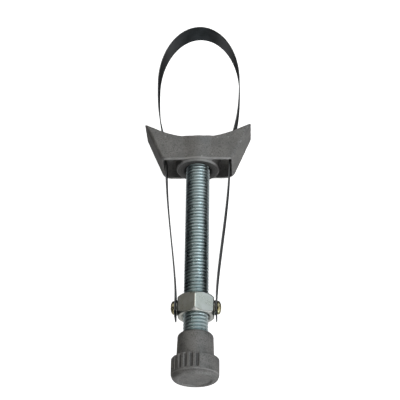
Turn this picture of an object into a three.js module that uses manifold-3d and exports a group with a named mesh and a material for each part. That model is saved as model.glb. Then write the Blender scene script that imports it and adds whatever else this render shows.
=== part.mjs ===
// Oil filter wrench: a threaded rod with a cast knob runs in a cast saddle head, and a nut on the rod
// carries both ends of a steel band, which loops out through the head and round the filter.
// Millimetres. Each piece is drawn round the rod's axis: +Y runs along the rod from the knob to the band,
// +X across the saddle and +Z across the band's width, and the last group stands the tool on its bed.
import * as THREE from "three";
import { mergeVertices } from "three/addons/utils/BufferGeometryUtils.js";
import Module from "manifold-3d";

const wasm = await Module();
wasm.setup();

// Fits
const gap = 0.3;
const halfTurn = Math.PI;
const fullTurn = 2 * Math.PI;

// Rod: 5/8 inch, 11 threads to the inch
const rodRadius = 7.95;
const threadPitch = 25.4 / 11;
const threadRoot = 6.7;
const threadSteps = 12;
const rodStartY = 7.94;
const shoulderY = 153.42;
const spigotRadius = 4.78;
const spigotEndY = 167;
const clipGroove = { radius: 4.02, startY: 164.13, endY: 165.86 };

// Knob
const knob = {
  endRecess: 0.67,
  recessRadius: 10.14,
  rimRadius: 12.43,
  flangeRadius: 14.92,
  flangeStartY: 3.06,
  flangeEndY: 13.58,
  neckStartRadius: 11.67,
  neckEndRadius: 11.29,
  neckEndY: 27.64,
  topY: 30.13,
  topRadius: 8.8,
};
const grip = {
  perTurn: 24,
  inGroup: 6,
  groups: 2,
  firstAngle: -0.15,
  radius: 1.1,
  startY: 3.92,
  depth: 0.91,
};
const pin = { radius: 1.2, y: 19.42, innerZ: -3.35, outerZ: -11.2 };

// Nut
const nut = { acrossFlats: 22.76, height: 13.1, centreY: 48.02, chamfer: 1.9 };

// Band
const band = {
  thickness: 0.7,
  width: 15.3,
  endY: 40.17,
  nutX: 12.96,
  bendY: 55.48,
  waistX: 21.43,
  waistY: 153.04,
  archX: 28.55,
  archRise: 47.35,
  archY: 218.37,
  endCorner: 3.83,
};
const overallLength = band.archY + band.archRise + band.thickness / 2;

// Band screws and the washers behind the band
const screw = {
  shankRadius: 2.3,
  tipX: 8.51,
  headRadius: 4.4,
  headX: 13.52,
  headRise: 2.58,
  slot: 1.05,
  slotDepth: 1.24,
};
const washer = { innerRadius: 2.68, outerRadius: 4.78, startX: 11.63, endX: 12.35 };

// Head
const head = {
  tipHalfDepth: 11.77,
  tipY: 179.34,
  draft: 0.0555,
  bottomY: 150.07,
  bottomX: 23.82,
  bottomCorner: 2.39,
  sideAngle: 0.405,
  saddleRadius: 59.3,
  saddleY: 168.25,
  tipCorner: 0.91,
  edge: 0.86,
  wall: 1.91,
  sideWall: 1.34,
  roof: 2.87,
};
const boss = {
  radius: 14.63,
  startY: 148.26,
  edge: 1.05,
  mouthRadius: 9.76,
  mouthDepth: 1.72,
  boreRadius: 8.4,
  boreEndY: 155.53,
};
const clipPocket = { radius: 7.84, floorY: 163.85 };
const windowOuterX = 28.31;
const windowHalfWidth = 8.61;
const windowY = [165, 183.65];

// Retaining pieces
const thrust = { innerRadius: 5.08, outerRadius: 7.56, startY: 153.74, endY: 155.21 };
const clip = { innerRadius: 4.32, outerRadius: 7.08, startY: 164.43, endY: 165.56, opening: 1.05 };

const finishes = {
  castAlloy: { color: 0x6e6d6a, roughness: 0.72, metalness: 0.55 },
  zincSteel: { color: 0xa9bcbc, roughness: 0.3, metalness: 0.95 },
  nutSteel: { color: 0xa3a69f, roughness: 0.36, metalness: 0.95 },
  bandSteel: { color: 0x3a3f45, roughness: 0.42, metalness: 0.9 },
  yellowSteel: { color: 0x9a9066, roughness: 0.35, metalness: 0.9 },
  darkSteel: { color: 0x4a4b4c, roughness: 0.5, metalness: 0.85 },
};

function solid(geometry) {
  const bare = geometry.index ? geometry.toNonIndexed() : geometry.clone();
  bare.deleteAttribute("normal");
  bare.deleteAttribute("uv");
  const merged = mergeVertices(bare, 1e-4);
  const triVerts = new Uint32Array(merged.index.array);
  const vertProperties = new Float32Array(merged.attributes.position.array);
  return new wasm.Manifold(new wasm.Mesh({ numProp: 3, vertProperties, triVerts }));
}

function geometryOf(shape) {
  const mesh = shape.getMesh();
  const geometry = new THREE.BufferGeometry();
  geometry.setAttribute("position", new THREE.BufferAttribute(new Float32Array(mesh.vertProperties), 3));
  geometry.setIndex(new THREE.BufferAttribute(new Uint32Array(mesh.triVerts), 1));
  geometry.computeVertexNormals();
  return geometry;
}

function piece(name, shape, finish) {
  const mesh = new THREE.Mesh(geometryOf(shape), new THREE.MeshStandardMaterial(finishes[finish]));
  mesh.name = name;
  return mesh;
}

// A turned solid round the Y axis; its profile is a list of [radius, y] from bottom to top, closed by itself.
function turned(profile, segments) {
  const points = profile.map(([radius, y]) => new THREE.Vector2(radius, y));
  const isRing = profile[0][0] > 0;
  if (isRing) {
    points.push(points[0].clone());
  }
  return solid(new THREE.LatheGeometry(points, segments));
}

function cylinder(radius, startY, endY, segments) {
  return turned([[0, startY], [radius, startY], [radius, endY], [0, endY]], segments);
}

function ring(innerRadius, outerRadius, startY, endY, segments) {
  const outside = [[outerRadius, startY], [outerRadius, endY]];
  return turned([[innerRadius, startY], ...outside, [innerRadius, endY]], segments);
}

// A turned solid laid along the X axis instead, growing towards side * X.
function alongX(shape, side) {
  return shape.rotate([0, 0, side > 0 ? -90 : 90]);
}

function span(half) {
  return [-half, half];
}

function box(minX, maxX, minY, maxY, minZ, maxZ) {
  const geometry = new THREE.BoxGeometry(maxX - minX, maxY - minY, maxZ - minZ);
  geometry.translate((minX + maxX) / 2, (minY + maxY) / 2, (minZ + maxZ) / 2);
  return solid(geometry);
}

function slabGeometry(shape, halfDepth, curveSegments, edge) {
  const geometry = new THREE.ExtrudeGeometry(shape, {
    depth: 2 * (halfDepth - edge),
    curveSegments,
    bevelEnabled: edge > 0,
    bevelThickness: edge,
    bevelSize: edge,
    bevelOffset: -edge,
    bevelSegments: 2,
  });
  geometry.translate(0, 0, edge - halfDepth);
  return geometry;
}

function slab(shape, halfDepth, curveSegments) {
  return solid(slabGeometry(shape, halfDepth, curveSegments, 0));
}

// The thread is a wall of crest and root rows that climbs one pitch in a full turn, so the wall's last
// column meets its first column two rows up.
function threadedBar(startY, endY) {
  const rows = 2 * Math.ceil((endY - startY) / threadPitch) + 4;
  const points = [];
  const faces = [];
  for (let column = 0; column < threadSteps; column += 1) {
    const angle = (fullTurn * column) / threadSteps;
    for (let row = 0; row < rows; row += 1) {
      const radius = row % 2 === 0 ? rodRadius : threadRoot;
      const y = startY + threadPitch * (row / 2 - 1.5 + column / threadSteps);
      points.push(radius * Math.sin(angle), y, radius * Math.cos(angle));
    }
  }
  const at = (column, row) => (column === threadSteps ? row + 2 : column * rows + row);
  for (let column = 0; column < threadSteps; column += 1) {
    const rowsHere = column === threadSteps - 1 ? rows - 3 : rows - 1;
    for (let row = 0; row < rowsHere; row += 1) {
      const corner = [at(column, row), at(column + 1, row), at(column + 1, row + 1), at(column, row + 1)];
      faces.push(corner[0], corner[1], corner[2], corner[0], corner[2], corner[3]);
    }
  }
  const lowCentre = points.length / 3;
  points.push(0, points[1] + threadPitch / 2, 0);
  const highCentre = lowCentre + 1;
  const lastOfColumn = (column) => at(column, rows - 1);
  points.push(0, points[3 * lastOfColumn(0) + 1] + threadPitch / 2, 0);
  const lowLoop = [1, 0];
  const highLoop = [];
  for (let column = 1; column < threadSteps; column += 1) {
    lowLoop.push(at(column, 0));
  }
  lowLoop.push(2);
  for (let column = 0; column < threadSteps; column += 1) {
    highLoop.push(lastOfColumn(column));
  }
  highLoop.push(at(threadSteps - 1, rows - 2), at(threadSteps - 1, rows - 3));
  lowLoop.forEach((point, index) => faces.push(lowCentre, lowLoop[(index + 1) % lowLoop.length], point));
  highLoop.forEach((point, index) => faces.push(highCentre, point, highLoop[(index + 1) % highLoop.length]));
  const geometry = new THREE.BufferGeometry();
  geometry.setAttribute("position", new THREE.Float32BufferAttribute(points, 3));
  geometry.setIndex(faces);
  return solid(geometry);
}

function makeRod() {
  const lead = 1.3;
  const envelope = turned(
    [
      [0, rodStartY],
      [rodRadius - lead, rodStartY],
      [rodRadius + 1, rodStartY + lead + 1],
      [rodRadius + 1, shoulderY - lead - 1],
      [rodRadius - lead, shoulderY],
      [0, shoulderY],
    ],
    threadSteps,
  );
  const spigot = turned(
    [
      [0, shoulderY - lead],
      [spigotRadius, shoulderY - lead],
      [spigotRadius, clipGroove.startY],
      [clipGroove.radius, clipGroove.startY],
      [clipGroove.radius, clipGroove.endY],
      [spigotRadius, clipGroove.endY],
      [spigotRadius, spigotEndY - 0.6],
      [spigotRadius - 0.6, spigotEndY],
      [0, spigotEndY],
    ],
    24,
  );
  const pinHole = cylinder(pin.radius + gap, -pin.innerZ - gap, 2 * rodRadius, 12).rotate([-90, 0, 0]);
  return threadedBar(rodStartY, shoulderY)
    .intersect(envelope)
    .add(spigot)
    .subtract(pinHole.translate([0, pin.y, 0]));
}

function makeKnob() {
  const body = turned(
    [
      [0, knob.endRecess],
      [knob.recessRadius, knob.endRecess],
      [knob.recessRadius + 0.5, 0],
      [knob.rimRadius, 0],
      [knob.flangeRadius - 1, 1.1],
      [knob.flangeRadius - 0.4, knob.flangeStartY - 0.5],
      [knob.flangeRadius, knob.flangeStartY],
      [knob.flangeRadius, knob.flangeEndY - 0.9],
      [knob.flangeRadius - 0.8, knob.flangeEndY],
      [knob.neckStartRadius, knob.flangeEndY + 0.3],
      [knob.neckEndRadius, knob.neckEndY],
      [knob.neckEndRadius - 0.8, knob.topY - 0.8],
      [knob.topRadius, knob.topY],
      [0, knob.topY],
    ],
    48,
  );
  let cut = cylinder(rodRadius + gap, rodStartY - gap, knob.topY + 1, 24);
  const pinHole = cylinder(pin.radius + gap, 0, knob.flangeRadius, 12).rotate([-90, 0, 0]);
  cut = cut.add(pinHole.translate([0, pin.y, 0]));
  const groove = cylinder(grip.radius, grip.startY, knob.flangeEndY + 1, 10);
  const grooveAxis = knob.flangeRadius + grip.radius - grip.depth;
  for (let group = 0; group < grip.groups; group += 1) {
    for (let step = 0; step < grip.inGroup; step += 1) {
      const angle = grip.firstAngle + fullTurn * (group / grip.groups + step / grip.perTurn);
      cut = cut.add(groove.translate([-grooveAxis * Math.sin(angle), 0, grooveAxis * Math.cos(angle)]));
    }
  }
  return body.subtract(cut);
}

// The pin lies along Z, driven in from the back of the knob.
function makeKnobPin() {
  return cylinder(pin.radius, -pin.innerZ, -pin.outerZ, 12).rotate([-90, 0, 0]).translate([0, pin.y, 0]);
}

function makeNut() {
  const cornerRadius = nut.acrossFlats / Math.sqrt(3);
  const low = nut.centreY - nut.height / 2;
  const high = nut.centreY + nut.height / 2;
  const hexagon = cylinder(cornerRadius, low, high, 6);
  const faceRadius = nut.acrossFlats / 2 - 0.2;
  const chamfers = turned(
    [
      [0, low],
      [faceRadius, low],
      [cornerRadius + 0.2, low + nut.chamfer + 0.2],
      [cornerRadius + 0.2, high - nut.chamfer - 0.2],
      [faceRadius, high],
      [0, high],
    ],
    48,
  );
  const bore = turned(
    [
      [0, low - 1],
      [rodRadius + gap + 1.6, low - 0.4],
      [rodRadius + gap, low + 1.2],
      [rodRadius + gap, high - 1.2],
      [rodRadius + gap + 1.6, high + 0.4],
      [0, high + 1],
    ],
    24,
  );
  const hole = cylinder(screw.shankRadius + gap, rodRadius - 1, cornerRadius, 16);
  const holes = alongX(hole, 1).add(alongX(hole, -1)).translate([0, nut.centreY, 0]);
  return hexagon.intersect(chamfers).subtract(bore).subtract(holes);
}

// Half of the band's centre line: flat beside the nut, a long leg that leans out to the head, a flare
// through the head's window, and a quarter of the ellipse that closes the loop.
function bandHalf() {
  const path = new THREE.CurvePath();
  const end = new THREE.Vector2(band.nutX, band.endY);
  const bend = new THREE.Vector2(band.nutX, band.bendY);
  const waist = new THREE.Vector2(band.waistX, band.waistY);
  const shoulder = new THREE.Vector2(band.archX, band.archY);
  const offset = (point, x, y) => new THREE.Vector2(point.x + x, point.y + y);
  path.add(new THREE.LineCurve(end, bend));
  path.add(new THREE.CubicBezierCurve(bend, offset(bend, 1.1, 26.8), offset(waist, -0.48, -34.4), waist));
  const flareEnd = offset(shoulder, 0, -40.5);
  path.add(new THREE.CubicBezierCurve(waist, offset(waist, 0.38, 26.8), flareEnd, shoulder));
  path.add(new THREE.EllipseCurve(0, band.archY, band.archX, band.archRise, 0, halfTurn / 2));
  const steps = [1, 14, 12, 16];
  return path.curves.flatMap((curve, index) => {
    const points = curve.getPoints(steps[index]);
    return index === 0 ? points : points.slice(1);
  });
}

function makeBand() {
  const right = bandHalf();
  const left = right.slice(0, -1).reverse().map((point) => new THREE.Vector2(-point.x, point.y));
  const line = right.concat(left);
  const sideways = line.map((point, index) => {
    const before = line[Math.max(index - 1, 0)];
    const after = line[Math.min(index + 1, line.length - 1)];
    const along = after.clone().sub(before).normalize();
    return new THREE.Vector2(along.y, -along.x).multiplyScalar(band.thickness / 2);
  });
  const outside = line.map((point, index) => point.clone().add(sideways[index]));
  const inside = line.map((point, index) => point.clone().sub(sideways[index]));
  const strip = slab(new THREE.Shape(outside.concat(inside.reverse())), band.width / 2, 1);
  const hole = cylinder(screw.shankRadius + gap, rodRadius, nut.acrossFlats, 16);
  const holes = alongX(hole, 1).add(alongX(hole, -1)).translate([0, nut.centreY, 0]);
  const half = band.width / 2;
  const outline = new THREE.Shape();
  outline.moveTo(half, overallLength + 1);
  outline.lineTo(-half, overallLength + 1);
  outline.lineTo(-half, band.endY + band.endCorner);
  const cornerZ = half - band.endCorner;
  const cornerY = band.endY + band.endCorner;
  outline.absarc(-cornerZ, cornerY, band.endCorner, halfTurn, 1.5 * halfTurn);
  outline.absarc(cornerZ, cornerY, band.endCorner, 1.5 * halfTurn, fullTurn);
  const roundedEnds = slab(outline, band.archX + 1, 5).rotate([0, 90, 0]);
  return strip.intersect(roundedEnds).subtract(holes);
}

function makeBandWasher(side) {
  const disc = ring(washer.innerRadius, washer.outerRadius, washer.startX, washer.endX, 24);
  return alongX(disc, side).translate([0, nut.centreY, 0]);
}

function makeBandScrew(side) {
  const profile = [
    [0, screw.tipX],
    [screw.shankRadius - 0.5, screw.tipX],
    [screw.shankRadius, screw.tipX + 0.5],
    [screw.shankRadius, screw.headX],
    [screw.headRadius, screw.headX],
  ];
  const domeSteps = 4;
  for (let step = 1; step < domeSteps; step += 1) {
    const angle = (halfTurn / 2) * (step / domeSteps);
    profile.push([screw.headRadius * Math.cos(angle), screw.headX + screw.headRise * Math.sin(angle)]);
  }
  profile.push([0, screw.headX + screw.headRise]);
  const top = screw.headX + screw.headRise;
  const slot = box(...span(screw.slot / 2), top - screw.slotDepth, top + 1, ...span(screw.headRadius));
  return alongX(turned(profile, 20).subtract(slot), side).translate([0, nut.centreY, 0]);
}

// The head's side view, from its open bottom up to the saddle. inset moves the slanted sides in, and roof
// moves the saddle down, so that one outline serves the casting and the hollow inside it.
function headOutline(inset, roof, bottomY, bottomCorner, tipCorner) {
  const lean = new THREE.Vector2(Math.sin(head.sideAngle), Math.cos(head.sideAngle));
  const inward = new THREE.Vector2(-lean.y, lean.x);
  const saddleCentreY = head.saddleY + head.saddleRadius;
  const foot = new THREE.Vector2(head.bottomX, head.bottomY).addScaledVector(inward, inset);
  foot.addScaledVector(lean, (bottomY - foot.y) / lean.y);
  // The tip's rounding touches the slanted side and the saddle's arc.
  const reach = head.saddleRadius + roof + tipCorner;
  const start = foot.clone().addScaledVector(inward, tipCorner);
  start.y -= saddleCentreY;
  const along = start.dot(lean);
  const span = Math.sqrt(reach * reach - start.lengthSq() + along * along);
  const tip = start.addScaledVector(lean, -along - span);
  const tipSaddleAngle = Math.atan2(-tip.y, -tip.x);
  tip.y += saddleCentreY;
  const sideNormal = -head.sideAngle;
  const cornerY = bottomY + bottomCorner;
  const cornerX = foot.x - bottomCorner * Math.tan(halfTurn / 4 - head.sideAngle / 2);
  const shape = new THREE.Shape();
  shape.moveTo(0, bottomY);
  shape.absarc(cornerX, cornerY, bottomCorner, -halfTurn / 2, sideNormal);
  shape.absarc(tip.x, tip.y, tipCorner, sideNormal, tipSaddleAngle);
  const arc = Math.atan2(tip.x, saddleCentreY - tip.y);
  shape.absarc(0, saddleCentreY, head.saddleRadius + roof, -halfTurn / 2 + arc, -halfTurn / 2 - arc, true);
  shape.absarc(-tip.x, tip.y, tipCorner, halfTurn - tipSaddleAngle, halfTurn - sideNormal);
  shape.absarc(-cornerX, cornerY, bottomCorner, halfTurn - sideNormal, 1.5 * halfTurn);
  return shape;
}

// The long walls have draft: they spread apart from the saddle's tips to the open bottom.
function draftedSlab(shape, tipHalfDepth, curveSegments, edge) {
  const geometry = slabGeometry(shape, tipHalfDepth, curveSegments, edge);
  const position = geometry.attributes.position;
  for (let index = 0; index < position.count; index += 1) {
    const z = position.getZ(index);
    const spread = head.draft * (head.tipY - position.getY(index));
    position.setZ(index, z + Math.sign(z) * spread);
  }
  return solid(geometry);
}

function makeHead() {
  const outside = headOutline(0, 0, head.bottomY, head.bottomCorner, head.tipCorner);
  const outer = draftedSlab(outside, head.tipHalfDepth, 7, head.edge);
  const inside = headOutline(head.sideWall, head.roof, head.bottomY - 5, 1, 0.5);
  const hollow = draftedSlab(inside, head.tipHalfDepth - head.wall, 4, 0);
  const bossOutline = turned(
    [
      [0, boss.startY],
      [boss.radius - boss.edge, boss.startY],
      [boss.radius, boss.startY + boss.edge],
      [boss.radius, head.saddleY + 8],
      [0, head.saddleY + 8],
    ],
    48,
  );
  const saddleCylinder = cylinder(head.saddleRadius, -20, 20, 96).rotate([90, 0, 0]);
  const bossBody = bossOutline.subtract(saddleCylinder.translate([0, head.saddleY + head.saddleRadius, 0]));
  const bore = turned(
    [
      [0, boss.startY - 1],
      [boss.mouthRadius, boss.startY - 1],
      [boss.mouthRadius, boss.startY],
      [boss.boreRadius, boss.startY + boss.mouthDepth],
      [boss.boreRadius, boss.boreEndY],
      [spigotRadius + gap, boss.boreEndY],
      [spigotRadius + gap, clipPocket.floorY],
      [clipPocket.radius, clipPocket.floorY],
      [clipPocket.radius, head.saddleY + 8],
      [0, head.saddleY + 8],
    ],
    32,
  );
  const bandWindow = box(...span(windowOuterX), ...windowY, ...span(windowHalfWidth));
  return outer.subtract(hollow).subtract(bandWindow).add(bossBody).subtract(bore);
}

function makeThrustWasher() {
  return ring(thrust.innerRadius, thrust.outerRadius, thrust.startY, thrust.endY, 24);
}

function makeRetainingClip() {
  const disc = ring(clip.innerRadius, clip.outerRadius, clip.startY, clip.endY, 24);
  return disc.subtract(box(...span(clip.opening), clip.startY - 1, clip.endY + 1, 0, clip.outerRadius + 1));
}

const tool = new THREE.Group();
tool.add(
  piece("head_casting", makeHead(), "castAlloy"),
  piece("threaded_rod", makeRod(), "zincSteel"),
  piece("thrust_washer", makeThrustWasher(), "zincSteel"),
  piece("retaining_clip", makeRetainingClip(), "darkSteel"),
  piece("knob", makeKnob(), "castAlloy"),
  piece("knob_pin", makeKnobPin(), "darkSteel"),
  piece("hex_nut", makeNut(), "nutSteel"),
  piece("steel_band", makeBand(), "bandSteel"),
  piece("band_washer_left", makeBandWasher(-1), "zincSteel"),
  piece("band_washer_right", makeBandWasher(1), "zincSteel"),
  piece("band_screw_left", makeBandScrew(-1), "yellowSteel"),
  piece("band_screw_right", makeBandScrew(1), "yellowSteel"),
);
tool.position.set(0, -overallLength / 2, knob.flangeRadius);

const group = new THREE.Group();
group.name = "oil_filter_wrench";
group.add(tool);

export default group;
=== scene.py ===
from math import cos, pi, radians, sin, sqrt

import bpy
import numpy as np
from mathutils import Matrix, Vector


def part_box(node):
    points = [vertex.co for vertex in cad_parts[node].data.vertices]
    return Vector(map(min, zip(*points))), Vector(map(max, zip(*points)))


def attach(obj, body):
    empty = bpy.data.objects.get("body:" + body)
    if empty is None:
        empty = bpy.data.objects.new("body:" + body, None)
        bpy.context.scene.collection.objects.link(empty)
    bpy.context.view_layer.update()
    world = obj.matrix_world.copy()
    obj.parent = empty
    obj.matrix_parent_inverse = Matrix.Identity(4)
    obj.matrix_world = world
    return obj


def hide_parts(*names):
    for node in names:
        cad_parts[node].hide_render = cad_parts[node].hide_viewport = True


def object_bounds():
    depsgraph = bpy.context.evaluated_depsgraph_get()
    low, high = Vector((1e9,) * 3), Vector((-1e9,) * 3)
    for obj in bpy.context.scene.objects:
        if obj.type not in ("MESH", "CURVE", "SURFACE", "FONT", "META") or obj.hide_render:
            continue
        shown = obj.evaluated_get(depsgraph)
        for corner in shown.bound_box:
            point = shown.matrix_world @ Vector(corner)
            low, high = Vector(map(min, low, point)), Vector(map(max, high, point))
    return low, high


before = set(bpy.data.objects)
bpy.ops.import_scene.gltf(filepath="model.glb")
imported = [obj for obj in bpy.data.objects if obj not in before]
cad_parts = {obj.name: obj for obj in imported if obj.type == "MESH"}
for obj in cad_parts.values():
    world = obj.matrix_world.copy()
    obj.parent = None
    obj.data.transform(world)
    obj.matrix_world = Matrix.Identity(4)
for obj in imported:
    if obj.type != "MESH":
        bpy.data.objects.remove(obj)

cad_low, cad_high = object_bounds()

LENGTH = 278.166
UNIT = (cad_high[1] - cad_low[1]) / LENGTH
KNOB_END_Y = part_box("knob")[0].y
AXIS_Z = (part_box("threaded_rod")[0].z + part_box("threaded_rod")[1].z) / 2

# ---------------------------------------------------------------- sizes, in units round the rod's axis

ROD_RADIUS = 8.31
THREAD_ROOT = 6.9
THREAD_PITCH = 2.4141
ROD_START = 8.3
ROD_SHOULDER = 160.4
SPIGOT_RADIUS = 5.0
SPIGOT_END = 174.6
CLIP_GROOVE = (4.2, 171.6, 173.4)

NUT_FLAT = 11.9
NUT_MIDDLE = 50.2
NUT_HALF_HEIGHT = 6.85
NUT_BORE = 8.6
NUT_BORE_CHAMFER = 1.3
NUT_CHAMFER_INSET = 0.2
NUT_SCREW_HOLE_START = 7.0

BAND_HALF_THICKNESS = 0.366
BAND_HALF_WIDTH = 8.0
BAND_END = 42.0
BAND_AT_NUT = (13.55, 58.0)
BAND_WAIST = (22.4, 160.0)
BAND_ARCH = (29.85, 228.3)
BAND_ARCH_RISE = 49.5
BAND_CORNER = 4.0
BAND_EDGE = 0.24
BAND_HOLE = 2.7

WASHER_RADII = (2.8, 5.0)
WASHER_FACES = (12.15, 12.95)
WASHER_EDGE = 0.15
SCREW_HEAD_RADIUS = 4.6
SCREW_HEAD_UNDERSIDE = 14.1
SCREW_DOME_START = 14.7
SCREW_DOME_HEIGHT = 2.1
SCREW_SHANK_RADIUS = 2.4
SCREW_SHANK_ENDS = (8.9, 14.5)
SCREW_SLOT_HALF_WIDTH = 0.55
SCREW_SLOT_FLOOR = 15.5

HEAD_TIP_HALF_DEPTH = 12.3
HEAD_TIP = 187.5
HEAD_DRAFT = 0.0555
HEAD_BOTTOM = 156.9
HEAD_BOTTOM_X = 24.9
HEAD_LEAN = 0.405
HEAD_WALL = 2.0
HEAD_SIDE_WALL = 1.4
HEAD_ROOF = 3.0
SADDLE_RADIUS = 62.0
SADDLE_LOW = 175.9
WINDOW_OUTER = 29.6
WINDOW_HALF_WIDTH = 9.0
WINDOW_START = 172.5
BOSS_RADIUS = 15.3
BOSS_START = 155.0
BOSS_EDGE = 1.1
BOSS_MOUTH = 10.2
ROD_BORE = 8.8
ROD_BORE_END = 162.6
SPIGOT_BORE = 5.3
CLIP_BORE = 8.2
CLIP_BORE_START = 171.3

FLANGE_RADIUS = 15.6
FLANGE_LEDGE = 3.1
FLANGE_TOP = 15.5
GROOVE_RADIUS = 1.15
GROOVE_DEPTH = 0.95
GROOVE_START = 4.1
GROOVE_FIRST_ANGLE = -0.15
GROOVES_PER_TURN = 24
GROOVES_IN_GROUP = 6

# How finely the pieces are drawn: the side of a carved piece's grid cell, and the segments of a turned one.
HEAD_CELL = 0.42
NUT_CELL = 0.3
SCREW_CELL = 0.16
ROD_SEGMENTS = 72
KNOB_SEGMENTS = 480

# ---------------------------------------------------------------- mesh tools


def mesh_in_frame(name, points, faces):
    """A mesh in the frame's metres, from points in units round the rod's axis."""
    placed = np.asarray(points, float) * UNIT + np.array([0.0, KNOB_END_Y, AXIS_Z])
    mesh = bpy.data.meshes.new(name)
    mesh.from_pydata(placed.tolist(), [], [list(map(int, face)) for face in faces])
    return mesh


def add_piece(name, points, faces, material, body, replaces):
    """A smooth piece that rides on a CAD body in place of its node."""
    mesh = mesh_in_frame(name, points, faces)
    mesh.validate()
    mesh.polygons.foreach_set("use_smooth", [True] * len(mesh.polygons))
    mesh.set_sharp_from_angle(angle=radians(48))
    mesh.materials.append(material)
    piece = bpy.data.objects.new(name, mesh)
    bpy.context.scene.collection.objects.link(piece)
    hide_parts(replaces)
    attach(piece, body)
    return piece


def bridge(lower, upper):
    """Quads between two closed rings of point numbers, facing out when the rings climb +Y."""
    count = len(lower)
    return [(lower[i], lower[(i + 1) % count], upper[(i + 1) % count], upper[i]) for i in range(count)]


def ring_points(radius, y, segments):
    """Points round the Y axis at one level. The radius is one number, or one for each point."""
    angle = np.arange(segments) * 2 * pi / segments
    return np.stack([radius * np.sin(angle), np.broadcast_to(y, angle.shape), radius * np.cos(angle)], 1)


def revolve(profile, segments, closed=False, cut=None):
    """A turned solid round Y. cut(radius, y, angle) may lower the radius, as a groove does. An open
    profile is capped at both ends, and a closed one is a ring."""
    angle = np.arange(segments) * 2 * pi / segments
    points = []
    for radius, y in profile:
        radii = np.full(segments, float(radius))
        if cut is not None:
            radii = cut(radii, y, angle)
        points.append(ring_points(radii, y, segments))
    rows = [np.arange(segments) + segments * row for row in range(len(profile))]
    faces = []
    for lower, upper in zip(rows, rows[1:] + rows[:1] if closed else rows[1:]):
        faces += bridge(lower, upper)
    if not closed:
        faces += [tuple(rows[0][::-1]), tuple(rows[-1])]
    return np.concatenate(points), faces


def arc(centre, radius, start, end, steps):
    """Profile points (radius, y) on an arc, with angles in degrees from +radius towards +y."""
    turns = np.radians(np.linspace(start, end, steps + 1))
    return [(centre[0] + radius * cos(t), centre[1] + radius * sin(t)) for t in turns]


def smooth_max(a, b, width):
    """The larger of two distances, with the edge where they meet rounded over about half of width."""
    share = np.clip(0.5 + 0.5 * (a - b) / width, 0, 1)
    return b + (a - b) * share + width * share * (1 - share)


def smooth_min(a, b, width):
    return -smooth_max(-a, -b, width)


CELL_CORNERS = np.array([(i, j, k) for i in (0, 1) for j in (0, 1) for k in (0, 1)])
CELL_EDGES = [
    (a, b) for a in range(8) for b in range(a + 1, 8) if np.abs(CELL_CORNERS[a] - CELL_CORNERS[b]).sum() == 1
]


def carve(distance, low, high, cell):
    """Points and quads of the surface where distance(x, y, z) is 0, by surface nets on a grid, with every
    point then moved onto the surface itself."""
    low = np.asarray(low, float) - 2 * cell
    sides = [np.arange(a, b + 2.5 * cell, cell) for a, b in zip(low, high)]
    values = distance(*np.meshgrid(*sides, indexing="ij"))
    shape = np.array(values.shape)
    solid = values < 0
    count = sum(solid[tuple(slice(c, c + n - 1) for c, n in zip(corner, shape))] for corner in CELL_CORNERS)
    cells = np.argwhere((count > 0) & (count < 8))
    corner_values = [values[tuple((cells + corner).T)] for corner in CELL_CORNERS]
    total = np.zeros((len(cells), 3))
    crossings = np.zeros(len(cells))
    for a, b in CELL_EDGES:
        crosses = (corner_values[a] < 0) != (corner_values[b] < 0)
        step = np.where(crosses, corner_values[a] - corner_values[b], 1.0)
        share = np.where(crosses, corner_values[a] / step, 0.0)
        total += crosses[:, None] * (CELL_CORNERS[a] + share[:, None] * (CELL_CORNERS[b] - CELL_CORNERS[a]))
        crossings += crosses
    points = low + cell * (cells + total / crossings[:, None])
    number = np.full(shape, -1)
    number[tuple(cells.T)] = np.arange(len(cells))
    quads = []
    for axis in range(3):
        along = np.eye(3, dtype=int)[axis]
        side_a = np.eye(3, dtype=int)[(axis + 1) % 3]
        side_b = np.eye(3, dtype=int)[(axis + 2) % 3]
        here = solid[tuple(slice(0, n - s) for n, s in zip(shape, along))]
        there = solid[tuple(slice(s, n) for n, s in zip(shape, along))]
        for change, order in ((here & ~there, 1), (there & ~here, -1)):
            at = np.argwhere(change)
            around = [at, at - side_a, at - side_a - side_b, at - side_b]
            quads.append(np.stack([number[tuple(c.T)] for c in around[::order]], 1))
    return settle(points, distance, cell), np.concatenate(quads)


def settle(points, distance, cell, steps=4):
    """Moves the points along the slope of the distance until they lie on the surface."""
    nudge = 0.02 * cell
    for _ in range(steps):
        x, y, z = points.T
        slope = np.stack(
            [
                distance(x + nudge, y, z) - distance(x - nudge, y, z),
                distance(x, y + nudge, z) - distance(x, y - nudge, z),
                distance(x, y, z + nudge) - distance(x, y, z - nudge),
            ],
            1,
        ) / (2 * nudge)
        steep = np.maximum((slope**2).sum(1), 0.25)
        move = -(distance(x, y, z) / steep)[:, None] * slope
        points = points + np.clip(move, -0.4 * cell, 0.4 * cell)
    return points


# ---------------------------------------------------------------- material tools


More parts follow.
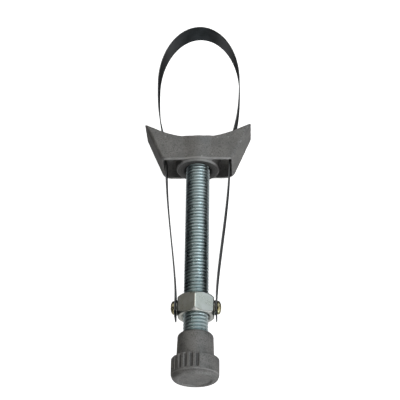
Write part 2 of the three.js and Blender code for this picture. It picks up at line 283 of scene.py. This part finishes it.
class Nodes:
    """Short calls for a material's or the world's node tree."""

    def __init__(self, tree):
        self.tree = tree
        tree.nodes.clear()

    def add(self, kind, **settings):
        node = self.tree.nodes.new(kind)
        for key, value in settings.items():
            setattr(node, key, value)
        return node

    def link(self, output, socket):
        self.tree.links.new(output, socket)

    def feed(self, node, inputs):
        for key, value in inputs.items():
            if isinstance(value, bpy.types.NodeSocket):
                self.link(value, node.inputs[key])
            else:
                node.inputs[key].default_value = value
        return node

    def math(self, operation, first, second=0.0):
        node = self.add("ShaderNodeMath", operation=operation)
        self.feed(node, {0: first, 1: second})
        return node.outputs[0]

    def noise(self, vector, scale, detail=3.0, roughness=0.5):
        node = self.add("ShaderNodeTexNoise")
        self.feed(node, {"Vector": vector, "Scale": scale, "Detail": detail, "Roughness": roughness})
        return node.outputs["Fac"]

    def spread(self, value, from_low, from_high, to_low, to_high):
        """Eases from to_low to to_high as the value goes from from_low to from_high."""
        node = self.add("ShaderNodeMapRange", interpolation_type="SMOOTHSTEP")
        self.feed(node, {"Value": value, "From Min": from_low, "From Max": from_high})
        self.feed(node, {"To Min": to_low, "To Max": to_high})
        return node.outputs["Result"]

    def blend(self, share, first, second):
        node = self.add("ShaderNodeMix", data_type="RGBA")
        self.feed(node, {0: share, 6: first, 7: second})
        return node.outputs[2]

    def bump(self, height, distance, strength=1.0, normal=None):
        node = self.add("ShaderNodeBump")
        self.feed(node, {"Height": height, "Distance": distance, "Strength": strength})
        if normal is not None:
            self.link(normal, node.inputs["Normal"])
        return node.outputs["Normal"]


def new_material(name):
    material = bpy.data.materials.new(name)
    material.use_nodes = True
    nodes = Nodes(material.node_tree)
    shader = nodes.add("ShaderNodeBsdfPrincipled")
    output = nodes.add("ShaderNodeOutputMaterial")
    nodes.link(shader.outputs[0], output.inputs[0])
    where = nodes.add("ShaderNodeTexCoord").outputs["Object"]
    return material, nodes, shader, where


def round_the_rod(nodes, where):
    """A place's own x, y and z, its height over the rod's axis and its distance from that axis."""
    place = nodes.add("ShaderNodeSeparateXYZ")
    nodes.link(where, place.inputs[0])
    height = nodes.math("SUBTRACT", place.outputs[2], AXIS_Z)
    square = nodes.math("ADD", nodes.math("POWER", place.outputs[0], 2.0), nodes.math("POWER", height, 2.0))
    return place.outputs, height, nodes.math("SQRT", square)


def grey(value, warm=0.0):
    return (value * (1 + warm), value, value * (1 - warm), 1.0)


def cast_alloy():
    """Sand-cast aluminium: dull and speckled, with paler rubbed edges, painted highlight lines, painted shade
    round the bore and in the grip grooves, and a fine grain.
    """
    material, nodes, shader, where = new_material("cast_alloy")
    grain = nodes.noise(where, 1100, 3.0, 0.75)
    patches = nodes.noise(where, 120, 4.0, 0.6)
    colour = nodes.blend(nodes.spread(patches, 0.35, 0.65, 0, 1), grey(0.24, 0.02), grey(0.33, 0.03))
    colour = nodes.blend(nodes.spread(grain, 0.45, 0.7, 0, 0.8), colour, grey(0.13, 0.02))
    place, height, radius = round_the_rod(nodes, where)
    along = nodes.math("SUBTRACT", place[1], KNOB_END_Y)

    # Painted shade round the rod: the boss's face darkened near the bore, fading outwards, and the bore
    # behind it painted black.
    shade_edge = 10.0 * UNIT
    near_rod = nodes.spread(radius, shade_edge, 15.2 * UNIT, 0.8, 0.5)
    boss_y = KNOB_END_Y + BOSS_START * UNIT
    from_boss = nodes.math("ABSOLUTE", nodes.math("SUBTRACT", place[1], boss_y))
    painted_shade = nodes.math("MULTIPLY", near_rod, nodes.spread(from_boss, 0.3 * UNIT, 0.8 * UNIT, 1, 0))
    bore = nodes.spread(radius, shade_edge, 10.6 * UNIT, 0.9, 0)
    past_boss = nodes.spread(place[1], boss_y - 1 * UNIT, boss_y, 0, 1)
    painted_shade = nodes.math("MAXIMUM", painted_shade, nodes.math("MULTIPLY", bore, past_boss))
    colour = nodes.blend(painted_shade, colour, grey(0.02))

    def line(value, middle, half, strength):
        """A soft line where the value is within half of middle, both in units."""
        off = nodes.math("ABSOLUTE", nodes.math("SUBTRACT", value, middle * UNIT))
        return nodes.spread(off, 0.3 * half * UNIT, half * UNIT, strength, 0)

    # What is painted pale: every sharp edge as rubbed wear, and as painted highlights the mouth's long edges,
    # the boss's rim and the ledge under the knob's flange.
    edge = nodes.add("ShaderNodeNewGeometry").outputs["Pointiness"]
    sharp = nodes.spread(edge, 0.52, 0.57, 0, 0.9)
    on_wall = nodes.spread(nodes.math("ABSOLUTE", height), 12.6 * UNIT, 13.3 * UNIT, 0, 1)
    mouth_edge_highlight = nodes.math("MULTIPLY", line(along, HEAD_BOTTOM + 0.5, 0.9, 0.95), on_wall)
    by_boss_face = line(along, BOSS_START + 0.5, 1.2, 1)
    boss_rim_highlight = nodes.math("MULTIPLY", line(radius, BOSS_RADIUS - 0.5, 0.9, 0.75), by_boss_face)
    by_flange = line(radius, FLANGE_RADIUS - 0.2, 0.7, 1)
    ledge_highlight = nodes.math("MULTIPLY", line(along, FLANGE_LEDGE, 0.45, 0.6), by_flange)
    lines = nodes.math("MAXIMUM", mouth_edge_highlight, nodes.math("MAXIMUM", boss_rim_highlight, ledge_highlight))
    wear_and_highlight = nodes.math("MAXIMUM", sharp, lines)
    wear_and_highlight = nodes.math("MULTIPLY", wear_and_highlight, nodes.spread(patches, 0.3, 0.6, 0.6, 1))
    # Rubbed wear on sharp edges and painted highlight lines, both in one pale colour.
    colour = nodes.blend(wear_and_highlight, colour, grey(0.5, 0.01))

    # Painted shade in the grip grooves, darker towards their floors.
    groove_shade = nodes.spread(radius, (FLANGE_RADIUS - 0.9) * UNIT, (FLANGE_RADIUS - 0.2) * UNIT, 0.6, 0)
    above_start = nodes.spread(along, (GROOVE_START - 0.2) * UNIT, (GROOVE_START + 0.4) * UNIT, 0, 1)
    below_ledge = nodes.spread(along, 12.8 * UNIT, 13.6 * UNIT, 1, 0)
    groove_shade = nodes.math("MULTIPLY", groove_shade, nodes.math("MULTIPLY", above_start, below_ledge))
    colour = nodes.blend(groove_shade, colour, grey(0.04))
    normal = nodes.bump(grain, 0.00022, 0.55)
    nodes.feed(
        shader,
        {
            "Base Color": colour,
            "Metallic": 0.55,
            "Roughness": nodes.spread(patches, 0.3, 0.7, 0.5, 0.66),
            "Normal": nodes.bump(patches, 0.0003, 0.35, normal),
        },
    )
    return material


def zinc_rod():
    """Blue-white zinc on rolled thread: bright crests, and roots darkened as painted shade."""
    material, nodes, shader, where = new_material("zinc_rod")
    _, _, radius = round_the_rod(nodes, where)
    # The roots are painted darker than the crests: painted shade in the thread's hollows.
    crest = nodes.spread(radius, (THREAD_ROOT + 0.1) * UNIT, (ROD_RADIUS - 0.25) * UNIT, 0, 1)
    smudge = nodes.noise(where, 260, 4.0, 0.6)
    shaded_root = nodes.blend(smudge, (0.26, 0.33, 0.34, 1), (0.42, 0.5, 0.51, 1))
    bright = nodes.blend(smudge, (0.62, 0.75, 0.77, 1), (0.82, 0.9, 0.91, 1))
    nodes.feed(
        shader,
        {
            "Base Color": nodes.blend(crest, shaded_root, bright),
            "Metallic": 1.0,
            "Roughness": nodes.spread(smudge, 0.3, 0.7, 0.25, 0.4),
            "Normal": nodes.bump(nodes.noise(where, 2600, 2.0), 0.00003, 0.4),
        },
    )
    return material


def zinc_plate(name, dark, light, rough, scale=300):
    """Plated steel with faint blotches and a fine grain."""
    material, nodes, shader, where = new_material(name)
    blotch = nodes.noise(where, scale, 4.0, 0.55)
    fine = nodes.noise(where, 3200, 2.0)
    nodes.feed(
        shader,
        {
            "Base Color": nodes.blend(nodes.spread(blotch, 0.35, 0.65, 0, 1), dark, light),
            "Metallic": 1.0,
            "Roughness": nodes.spread(blotch, 0.3, 0.7, rough, rough + 0.12),
            "Normal": nodes.bump(fine, 0.00003, 0.35),
        },
    )
    return material


def band_steel():
    """Blued spring steel: rolled along its length, with worn pale edges."""
    material, nodes, shader, where = new_material("band_steel")
    place = nodes.add("ShaderNodeSeparateXYZ")
    nodes.link(where, place.inputs[0])
    lengthways = nodes.add("ShaderNodeMapping")
    nodes.feed(lengthways, {"Vector": where, "Scale": (40.0, 40.0, 2600.0)})
    lines = nodes.noise(lengthways.outputs[0], 1.0, 3.0, 0.6)
    cloud = nodes.noise(where, 90, 4.0, 0.6)
    cloudy = nodes.spread(cloud, 0.35, 0.65, 0, 1)
    blue = nodes.blend(cloudy, (0.022, 0.027, 0.03, 1), (0.045, 0.052, 0.058, 1))
    colour = nodes.blend(nodes.spread(lines, 0.5, 0.8, 0, 0.4), blue, (0.08, 0.083, 0.088, 1))
    from_middle = nodes.math("ABSOLUTE", nodes.math("SUBTRACT", place.outputs[2], AXIS_Z))
    worn = nodes.spread(from_middle, (BAND_HALF_WIDTH - 0.5) * UNIT, (BAND_HALF_WIDTH - 0.05) * UNIT, 0, 0.8)
    nodes.feed(
        shader,
        {
            "Base Color": nodes.blend(worn, colour, (0.15, 0.15, 0.15, 1)),
            "Metallic": 1.0,
            "Roughness": nodes.spread(lines, 0.3, 0.7, 0.28, 0.42),
            "Normal": nodes.bump(lines, 0.00002, 0.5),
        },
    )
    return material


# ---------------------------------------------------------------- the pieces


def head_distance(x, y, z):
    """Distance to the head casting: a hollow saddle, open below, with windows for the band and a boss. The
    last number of each smooth_max and smooth_min is how widely that edge is rounded."""
    side = (np.abs(x) - HEAD_BOTTOM_X) * cos(HEAD_LEAN) - (y - HEAD_BOTTOM) * sin(HEAD_LEAN)
    from_saddle = np.hypot(x, y - SADDLE_LOW - SADDLE_RADIUS)
    saddle = SADDLE_RADIUS - from_saddle
    outline = smooth_max(smooth_max(side, HEAD_BOTTOM - y, 3.4), saddle, 2.0)
    half_depth = HEAD_TIP_HALF_DEPTH + HEAD_DRAFT * (HEAD_TIP - y)
    end_edge = np.clip((side + 5.0) / 4.0, 0, 1)
    outer = smooth_max(outline, np.abs(z) - half_depth, 0.9 + 2.1 * end_edge)
    hollow = smooth_max(side + HEAD_SIDE_WALL, saddle + HEAD_ROOF, 1.0)
    hollow = smooth_max(hollow, np.abs(z) - half_depth + HEAD_WALL, 1.6)
    window = np.maximum(np.abs(x) - WINDOW_OUTER, np.abs(z) - WINDOW_HALF_WIDTH)
    window = np.maximum(window, WINDOW_START - y)
    shell = smooth_max(outer, -np.minimum(hollow, window), 0.8)
    radius = np.hypot(x, z)
    rim = (radius - BOSS_RADIUS + BOSS_START - y + BOSS_EDGE) / sqrt(2)
    boss = smooth_max(smooth_max(radius - BOSS_RADIUS, BOSS_START - y, 0.3), rim, 0.4)
    body = smooth_min(shell, smooth_max(boss, saddle, 0.9), 1.8)
    mouth = (radius - BOSS_MOUTH + y - BOSS_START) / sqrt(2)
    bore = np.minimum(np.maximum(radius - ROD_BORE, y - ROD_BORE_END), radius - SPIGOT_BORE)
    bore = np.minimum(np.minimum(bore, mouth), np.maximum(radius - CLIP_BORE, CLIP_BORE_START - y))
    uneven = 0.05 * np.sin(0.83 * x + 0.6) * np.sin(0.71 * y) * np.cos(0.9 * z + 0.4)
    return smooth_max(body, -bore, 0.35) + uneven


def make_head(material):
    points, faces = carve(head_distance, (-38.5, 154.5, -15.6), (38.5, 188.5, 15.6), HEAD_CELL)
    return add_piece("head_casting_body", points, faces, material, "head", "head_casting")


def make_rod(material):
    """The thread's rows climb one pitch a turn, so each row's last point meets the row one pitch up."""
    segments = ROD_SEGMENTS
    # One pitch of the thread's section: the place in the pitch, and the share of the way up to the crest.
    half = [(0.04, 0.99), (0.075, 0.955), (0.11, 0.89), (0.16, 0.78), (0.38, 0.16), (0.43, 0.05)]
    section = [(0.0, 1.0), *half, (0.5, 0.0), *[(1 - place, height) for place, height in half[::-1]]]
    per_pitch = len(section)
    rows = per_pitch * (int((ROD_SHOULDER - ROD_START) / THREAD_PITCH) - 1)
    points = []
    for column in range(segments):
        turn = column / segments
        angle = 2 * pi * turn
        for row in range(rows):
            place, height = section[row % per_pitch]
            y = ROD_START + THREAD_PITCH * (row // per_pitch + place + turn + 0.5)
            radius = THREAD_ROOT + (ROD_RADIUS - THREAD_ROOT) * height
            points.append((radius * sin(angle), y, radius * cos(angle)))

    def at(column, row):
        return row + per_pitch if column == segments else column * rows + row

    faces = []
    for column in range(segments):
        for row in range(rows - 1 - (per_pitch if column == segments - 1 else 0)):
            faces.append((at(column, row), at(column + 1, row), at(column + 1, row + 1), at(column, row + 1)))
    start = [at(column, 0) for column in range(segments)] + list(range(per_pitch, 0, -1))
    faces.append(tuple(start[::-1]))
    # Past the thread comes the shoulder on the thrust washer, and the plain end with the clip's groove.
    groove_radius, groove_low, groove_high = CLIP_GROOVE
    turned = [(7.3, ROD_SHOULDER - 1.0), (7.3, ROD_SHOULDER - 0.3), (7.0, ROD_SHOULDER)]
    turned += [(SPIGOT_RADIUS, ROD_SHOULDER), (SPIGOT_RADIUS, groove_low), (groove_radius, groove_low)]
    turned += [(groove_radius, groove_high), (SPIGOT_RADIUS, groove_high), (SPIGOT_RADIUS, SPIGOT_END - 0.6)]
    turned += [(SPIGOT_RADIUS - 0.25, SPIGOT_END - 0.15), (SPIGOT_RADIUS - 0.7, SPIGOT_END)]
    rings = []
    for radius, y in turned:
        first = len(points)
        points.extend(ring_points(radius, y, segments).tolist())
        rings.append(list(range(first, first + segments)))
    top = [at(column, rows - 1) for column in range(segments)]
    step = [at(segments - 1, rows - 1 - down) for down in range(per_pitch + 1)]
    faces += [(top[i], top[i + 1], rings[0][i + 1], rings[0][i]) for i in range(segments - 1)]
    faces += [(upper, lower, rings[0][-1]) for upper, lower in zip(step, step[1:])]
    faces.append((step[-1], top[0], rings[0][0], rings[0][-1]))
    for lower, upper in zip(rings, rings[1:]):
        faces += bridge(lower, upper)
    faces.append(tuple(rings[-1]))
    return add_piece("threaded_rod_fine", points, faces, material, "screw", "threaded_rod")


def knob_profile():
    """(radius, y) from the recess in the knob's end round the flange and up the neck, then down the bore."""
    outline = [(9.7, 0.75)]
    outline += arc((10.0, 0.25), 0.5, 90, 20, 3)
    outline += arc((11.25, 0.45), 0.45, 200, 270, 3)
    outline += [(12.2, 0.0)]
    outline += arc((12.2, 3.1), 3.1, -86, -14, 12)
    outline += [(15.25, 2.75), (15.32, 3.05), (15.5, 3.25)]
    outline += [(FLANGE_RADIUS, y) for y in np.linspace(3.5, 12.9, 34)]
    outline += arc((FLANGE_RADIUS - 0.9, 13.3), 0.9, 8, 82, 6)
    outline += [(radius, 14.22 + 0.02 * (14 - radius)) for radius in np.linspace(14.4, 12.9, 8)]
    outline += arc((12.85, 14.9), 0.65, 262, 186, 5)
    outline += [(12.2 - 0.4 * share, 15.3 + 12.6 * share) for share in np.linspace(0.05, 1, 12)]
    outline += arc((11.8 - 2.7, 28.6), 2.7, 4, 84, 10)
    outline += [(9.1, 31.42), (8.93, 31.4)]
    outline += arc((8.93, 31.1), 0.3, 100, 175, 3)
    outline += [(8.63, 28.0), (8.63, 8.0)]
    return outline


def grip_grooves(radii, y, angle):
    """Lowers the flange where a round cutter has run along it, with a ball end towards the knob's face."""
    if y > FLANGE_TOP or radii[0] < 12.4:
        return radii
    axis_radius = FLANGE_RADIUS + GROOVE_RADIUS - GROOVE_DEPTH
    short = max(GROOVE_START + GROOVE_RADIUS - y, 0.0)
    cutter = sqrt(max(GROOVE_RADIUS**2 - short**2, 0.0))
    if cutter == 0:
        return radii
    for group in range(2):
        for step in range(GROOVES_IN_GROUP):
            centre = -(GROOVE_FIRST_ANGLE + 2 * pi * (group / 2 + step / GROOVES_PER_TURN))
            off = (angle - centre + pi) % (2 * pi) - pi
            across = axis_radius * np.sin(off)
            near = (np.abs(across) < cutter) & (np.abs(off) < 1)
            floor = axis_radius * np.cos(off) - np.sqrt(np.maximum(cutter**2 - across**2, 0))
            radii = np.where(near, -smooth_max(-radii, -floor, 0.35), radii)
    return radii


def make_knob(material):
    points, faces = revolve(knob_profile(), KNOB_SEGMENTS, cut=grip_grooves)
    return add_piece("knob_body", points, faces, material, "screw", "knob")


def nut_distance(x, y, z):
    """Distance to the hex nut, with its corners turned off, its bore and the two holes for the screws."""
    radius = np.hypot(x, z)
    up = np.abs(y - NUT_MIDDLE)
    lean_a = np.abs(x * cos(pi / 3) + z * sin(pi / 3))
    lean_b = np.abs(x * cos(pi / 3) - z * sin(pi / 3))
    hexagon = smooth_max(smooth_max(np.abs(x), lean_a, 0.35), lean_b, 0.35) - NUT_FLAT
    cone = (up - NUT_HALF_HEIGHT + radius - NUT_FLAT + NUT_CHAMFER_INSET) / sqrt(2)
    body = smooth_max(smooth_max(hexagon, up - NUT_HALF_HEIGHT, 0.3), cone, 0.3)
    chamfer = (radius - NUT_BORE - NUT_BORE_CHAMFER + NUT_HALF_HEIGHT - up) / sqrt(2)
    bore = np.minimum(radius - NUT_BORE, chamfer)
    screw_hole = np.maximum(np.hypot(y - NUT_MIDDLE, z) - BAND_HOLE, NUT_SCREW_HOLE_START - np.abs(x))
    return smooth_max(body, -np.minimum(bore, screw_hole), 0.25)


def make_nut(material):
    low = (-12.2, NUT_MIDDLE - 7.3, -13.9)
    high = (12.2, NUT_MIDDLE + 7.3, 13.9)
    points, faces = carve(nut_distance, low, high, NUT_CELL)
    return add_piece("hex_nut_body", points, faces, material, "nut", "hex_nut")


def bezier(a, b, c, d, steps):
    """Points on a cubic curve from a to d."""
    t = np.linspace(0, 1, steps + 1)[:, None]
    a, b, c, d = (np.array(p, float) for p in (a, b, c, d))
    return (1 - t) ** 3 * a + 3 * (1 - t) ** 2 * t * b + 3 * (1 - t) * t**2 * c + t**3 * d


def band_line():
    """The band's centre line from the right end over the crown to the left end."""
    nut_x, bend_y = BAND_AT_NUT
    waist_x, waist_y = BAND_WAIST
    arch_x, arch_y = BAND_ARCH
    near_end = BAND_END + np.array([0.0, 0.15, 0.4, 0.8, 1.3, 1.9, 2.6, 3.3, 4.0])
    flat = [(nut_x, y) for y in np.concatenate([near_end, np.linspace(47, bend_y, 10)])]
    leg = bezier((nut_x, bend_y), (nut_x + 1.15, bend_y + 28), (waist_x - 0.5, waist_y - 36), BAND_WAIST, 80)
    flare = bezier(BAND_WAIST, (waist_x + 0.4, waist_y + 28), (arch_x, arch_y - 42.3), BAND_ARCH, 60)
    turn = np.linspace(0, pi / 2, 72)[1:]
    crown = np.stack([arch_x * np.cos(turn), arch_y + BAND_ARCH_RISE * np.sin(turn)], 1)
    right = np.concatenate([flat, leg[1:], flare[1:], crown])
    return np.concatenate([right, right[-2::-1] * np.array([-1, 1])])


def make_band(material):
    """A strip swept along the band's line, with round corners at its ends, soft edges and two holes."""
    line = band_line()
    along = np.gradient(line, axis=0)
    along /= np.linalg.norm(along, axis=1)[:, None]
    outward = np.stack([along[:, 1], -along[:, 0]], 1)
    run = np.concatenate([[0], np.cumsum(np.linalg.norm(np.diff(line, axis=0), axis=1))])
    short = BAND_CORNER - np.minimum(np.minimum(run, run[-1] - run), BAND_CORNER)
    half_width = BAND_HALF_WIDTH - 0.98 * (BAND_CORNER - np.sqrt(BAND_CORNER**2 - short**2))
    # The strip's section as shares of its half thickness, its half width and its rounded edge.
    turns = np.linspace(0, pi, 9)
    section = [(1, share, 0, 0) for share in np.linspace(0.9, -0.9, 9)]
    section += [(cos(t), -1, 1, 1 - sin(t)) for t in turns]
    section += [(-1, share, 0, 0) for share in np.linspace(-0.9, 0.9, 9)]
    section += [(-cos(t), 1, -1, 1 - sin(t)) for t in turns]
    points = []
    for (px, py), (ox, oy), half in zip(line, outward, half_width):
        for across, wide, inward, back in section:
            off = across * BAND_HALF_THICKNESS
            points.append((px + ox * off, py + oy * off, wide * half + inward * back * BAND_EDGE))
    rings = np.arange(len(points)).reshape(len(line), len(section)).tolist()
    faces = []
    for lower, upper in zip(rings, rings[1:]):
        faces += bridge(lower, upper)
    faces += [tuple(rings[0][::-1]), tuple(rings[-1])]
    band = add_piece("steel_band_strip", points, faces, material, "nut", "steel_band")
    for side in (-1, 1):
        through = [(BAND_HOLE, BAND_AT_NUT[0] - 2), (BAND_HOLE, BAND_AT_NUT[0] + 2)]
        drill(band, *revolve(through, 48), side)
    return band


def drill(piece, points, faces, side):
    """Cuts a hole through the piece, along X at the nut's middle."""
    cutter = bpy.data.objects.new("drill", mesh_in_frame("drill", lay_along_x(points, side), faces))
    bpy.context.scene.collection.objects.link(cutter)
    cut = piece.modifiers.new("hole", "BOOLEAN")
    cut.object = cutter
    cut.operation = "DIFFERENCE"
    cut.solver = "EXACT"
    bpy.context.view_layer.update()
    drilled = bpy.data.meshes.new_from_object(piece.evaluated_get(bpy.context.evaluated_depsgraph_get()))
    piece.modifiers.remove(cut)
    bpy.data.objects.remove(cutter)
    piece.data = drilled


def make_band_washer(side, name, material):
    inner, outer = WASHER_RADII
    low, high = WASHER_FACES
    edge = WASHER_EDGE
    profile = [(inner, low + edge), (inner + edge, low), (outer - edge, low), (outer, low + edge)]
    profile += [(outer, high - edge), (outer - edge, high), (inner + edge, high), (inner, high - edge)]
    points, faces = revolve(profile, 64, closed=True)
    return add_piece(name + "_disc", lay_along_x(points, side), faces, material, "nut", name)


def lay_along_x(points, side):
    """Turns a piece drawn round +Y so that its axis points to side * X at the nut's middle."""
    x, y, z = np.asarray(points).T
    return np.stack([side * y, NUT_MIDDLE - side * x, z], 1)


def screw_distance(x, y, z):
    """Distance to a slotted round-headed screw. The dome is half an ellipse, scaled to be nearly true."""
    radius = np.hypot(x, z)
    over_start = np.maximum(y - SCREW_DOME_START, 0)
    dome = (np.hypot(radius / SCREW_HEAD_RADIUS, over_start / SCREW_DOME_HEIGHT) - 1) * 2.4
    head = smooth_max(smooth_max(dome, radius - SCREW_HEAD_RADIUS, 0.3), SCREW_HEAD_UNDERSIDE - y, 0.35)
    shank = smooth_max(radius - SCREW_SHANK_RADIUS, SCREW_SHANK_ENDS[0] - y, 0.6)
    shank = np.maximum(shank, y - SCREW_SHANK_ENDS[1])
    slot = smooth_max(np.abs(x) - SCREW_SLOT_HALF_WIDTH, SCREW_SLOT_FLOOR - y, 0.2)
    return smooth_max(smooth_min(head, shank, 0.2), -slot, 0.25)


def make_band_screw(side, name, material):
    points, faces = carve(screw_distance, (-4.7, 8.8, -4.7), (4.7, 16.9, 4.7), SCREW_CELL)
    return add_piece(name + "_body", lay_along_x(points, side), faces, material, "nut", name)


# ---------------------------------------------------------------- light, floor and camera


def make_world():
    """A nearly dark room with patches of light. Each has the way it lies, the angles from there at which it
    starts to fade and is gone, its strength and its colour. The metal's dark bands are the gaps between."""
    world = bpy.data.worlds.new("studio")
    bpy.context.scene.world = world
    world.use_nodes = True
    nodes = Nodes(world.node_tree)
    way = nodes.add("ShaderNodeTexCoord").outputs["Generated"]
    cool, warm, white = (0.86, 0.96, 1.0), (1.0, 0.97, 0.86), (1.0, 1.0, 1.0)
    total = nodes.add("ShaderNodeRGB").outputs[0]
    total.default_value = (0.05, 0.05, 0.05, 1.0)
    for axis, inner, outer, strength, colour in (
        # Overhead beyond the tool: cool on the right, warm on the left, faint and broad between.
        ((0.56, 0.45, 0.70), 12, 21, 1.9, cool),
        ((-0.36, 0.45, 0.82), 8, 16, 1.5, warm),
        ((0.05, 0.49, 0.87), 4, 40, 0.62, white),
        ((-0.78, 0.49, 0.40), 8, 22, 0.15, warm),
        # Low in front of the knob.
        ((0.31, -0.95, -0.08), 11, 17, 4.0, cool),
        ((-0.25, -0.96, -0.08), 5, 12, 1.8, warm),
        # Overhead in front: two small lamps and a soft patch.
        ((0.34, -0.50, 0.80), 3, 8, 5.0, white),
        ((-0.56, -0.50, 0.66), 3, 8, 4.0, white),
        ((0.2, -0.86, 0.47), 6, 24, 1.3, white),
        # What the table gives back, and the room to the right.
        ((0.0, -0.62, -0.78), 20, 42, 0.5, white),
        ((0.92, -0.38, 0.1), 16, 42, 0.85, white),
        ((0.95, -0.1, -0.3), 15, 40, 0.35, white),
        ((0.47, 0.05, -0.88), 10, 27, 0.45, white),
        ((-0.47, 0.05, -0.88), 10, 27, 0.4, white),
    ):
        dot = nodes.add("ShaderNodeVectorMath", operation="DOT_PRODUCT")
        nodes.feed(dot, {0: way, 1: Vector(axis).normalized()})
        lobe = nodes.spread(dot.outputs["Value"], cos(radians(outer)), cos(radians(inner)), 0.0, strength)
        glow = nodes.add("ShaderNodeVectorMath", operation="SCALE")
        nodes.feed(glow, {0: colour, "Scale": lobe})
        added = nodes.add("ShaderNodeVectorMath", operation="ADD")
        nodes.feed(added, {0: total, 1: glow.outputs[0]})
        total = added.outputs[0]
    background = nodes.feed(nodes.add("ShaderNodeBackground"), {"Color": total})
    output = nodes.add("ShaderNodeOutputWorld")
    nodes.link(background.outputs[0], output.inputs[0])


def make_floor():
    """A plain white floor, out of the metal's reflections so that the pieces keep their dark bands."""
    size = 4.0
    mesh = bpy.data.meshes.new("floor")
    corners = [(-size, -size, 0), (size, -size, 0), (size, size, 0), (-size, size, 0)]
    mesh.from_pydata(corners, [], [(0, 1, 2, 3)])
    floor = bpy.data.objects.new("floor", mesh)
    bpy.context.scene.collection.objects.link(floor)
    floor.visible_glossy = False
    floor.visible_diffuse = False
    material, nodes, shader, where = new_material("floor_white")
    colour = nodes.blend(nodes.noise(where, 3.0), grey(0.86), grey(0.9))
    nodes.feed(
        shader,
        {"Base Color": colour, "Roughness": 0.9, "Emission Color": grey(1.0), "Emission Strength": 1.0},
    )
    mesh.materials.append(material)


def make_camera():
    data = bpy.data.cameras.new("camera")
    data.sensor_width = 36.0
    data.lens = 93.3
    camera = bpy.data.objects.new("camera", data)
    bpy.context.scene.collection.objects.link(camera)
    azimuth, elevation, roll = radians(5.16), radians(60.62), radians(-5.16)
    distance = 723.08 * UNIT
    target = Vector((1.71 * UNIT, KNOB_END_Y + 131.67 * UNIT, AXIS_Z))
    back = Vector((sin(azimuth) * cos(elevation), -cos(azimuth) * cos(elevation), sin(elevation)))
    level = Vector((cos(azimuth), sin(azimuth), 0))
    rise = back.cross(level)
    right = level * cos(roll) + rise * sin(roll)
    up = back.cross(right)
    camera.matrix_world = Matrix.Translation(target + back * distance) @ Matrix(
        ((right.x, up.x, back.x, 0), (right.y, up.y, back.y, 0), (right.z, up.z, back.z, 0), (0, 0, 0, 1))
    )
    bpy.context.scene.camera = camera
    bpy.context.scene.view_settings.view_transform = "Standard"


# ---------------------------------------------------------------- assembly

make_camera()
make_world()
make_floor()

alloy = cast_alloy()
rod_zinc = zinc_rod()
nut_zinc = zinc_plate("zinc_nut", (0.56, 0.57, 0.52, 1), (0.68, 0.69, 0.66, 1), 0.26, 180)
yellow_zinc = zinc_plate("yellow_zinc", (0.42, 0.37, 0.2, 1), (0.62, 0.57, 0.38, 1), 0.24, 500)
dark_steel = zinc_plate("dark_steel", (0.1, 0.1, 0.105, 1), (0.17, 0.17, 0.175, 1), 0.34)
spring_steel = band_steel()

make_head(alloy)
make_rod(rod_zinc)
make_knob(alloy)
make_nut(nut_zinc)
make_band(spring_steel)
for side, hand in ((-1, "left"), (1, "right")):
    make_band_washer(side, "band_washer_" + hand, nut_zinc)
    make_band_screw(side, "band_screw_" + hand, yellow_zinc)
for node, material in (("thrust_washer", nut_zinc), ("retaining_clip", dark_steel), ("knob_pin", dark_steel)):
    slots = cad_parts[node].data.materials
    slots.clear()
    slots.append(material)
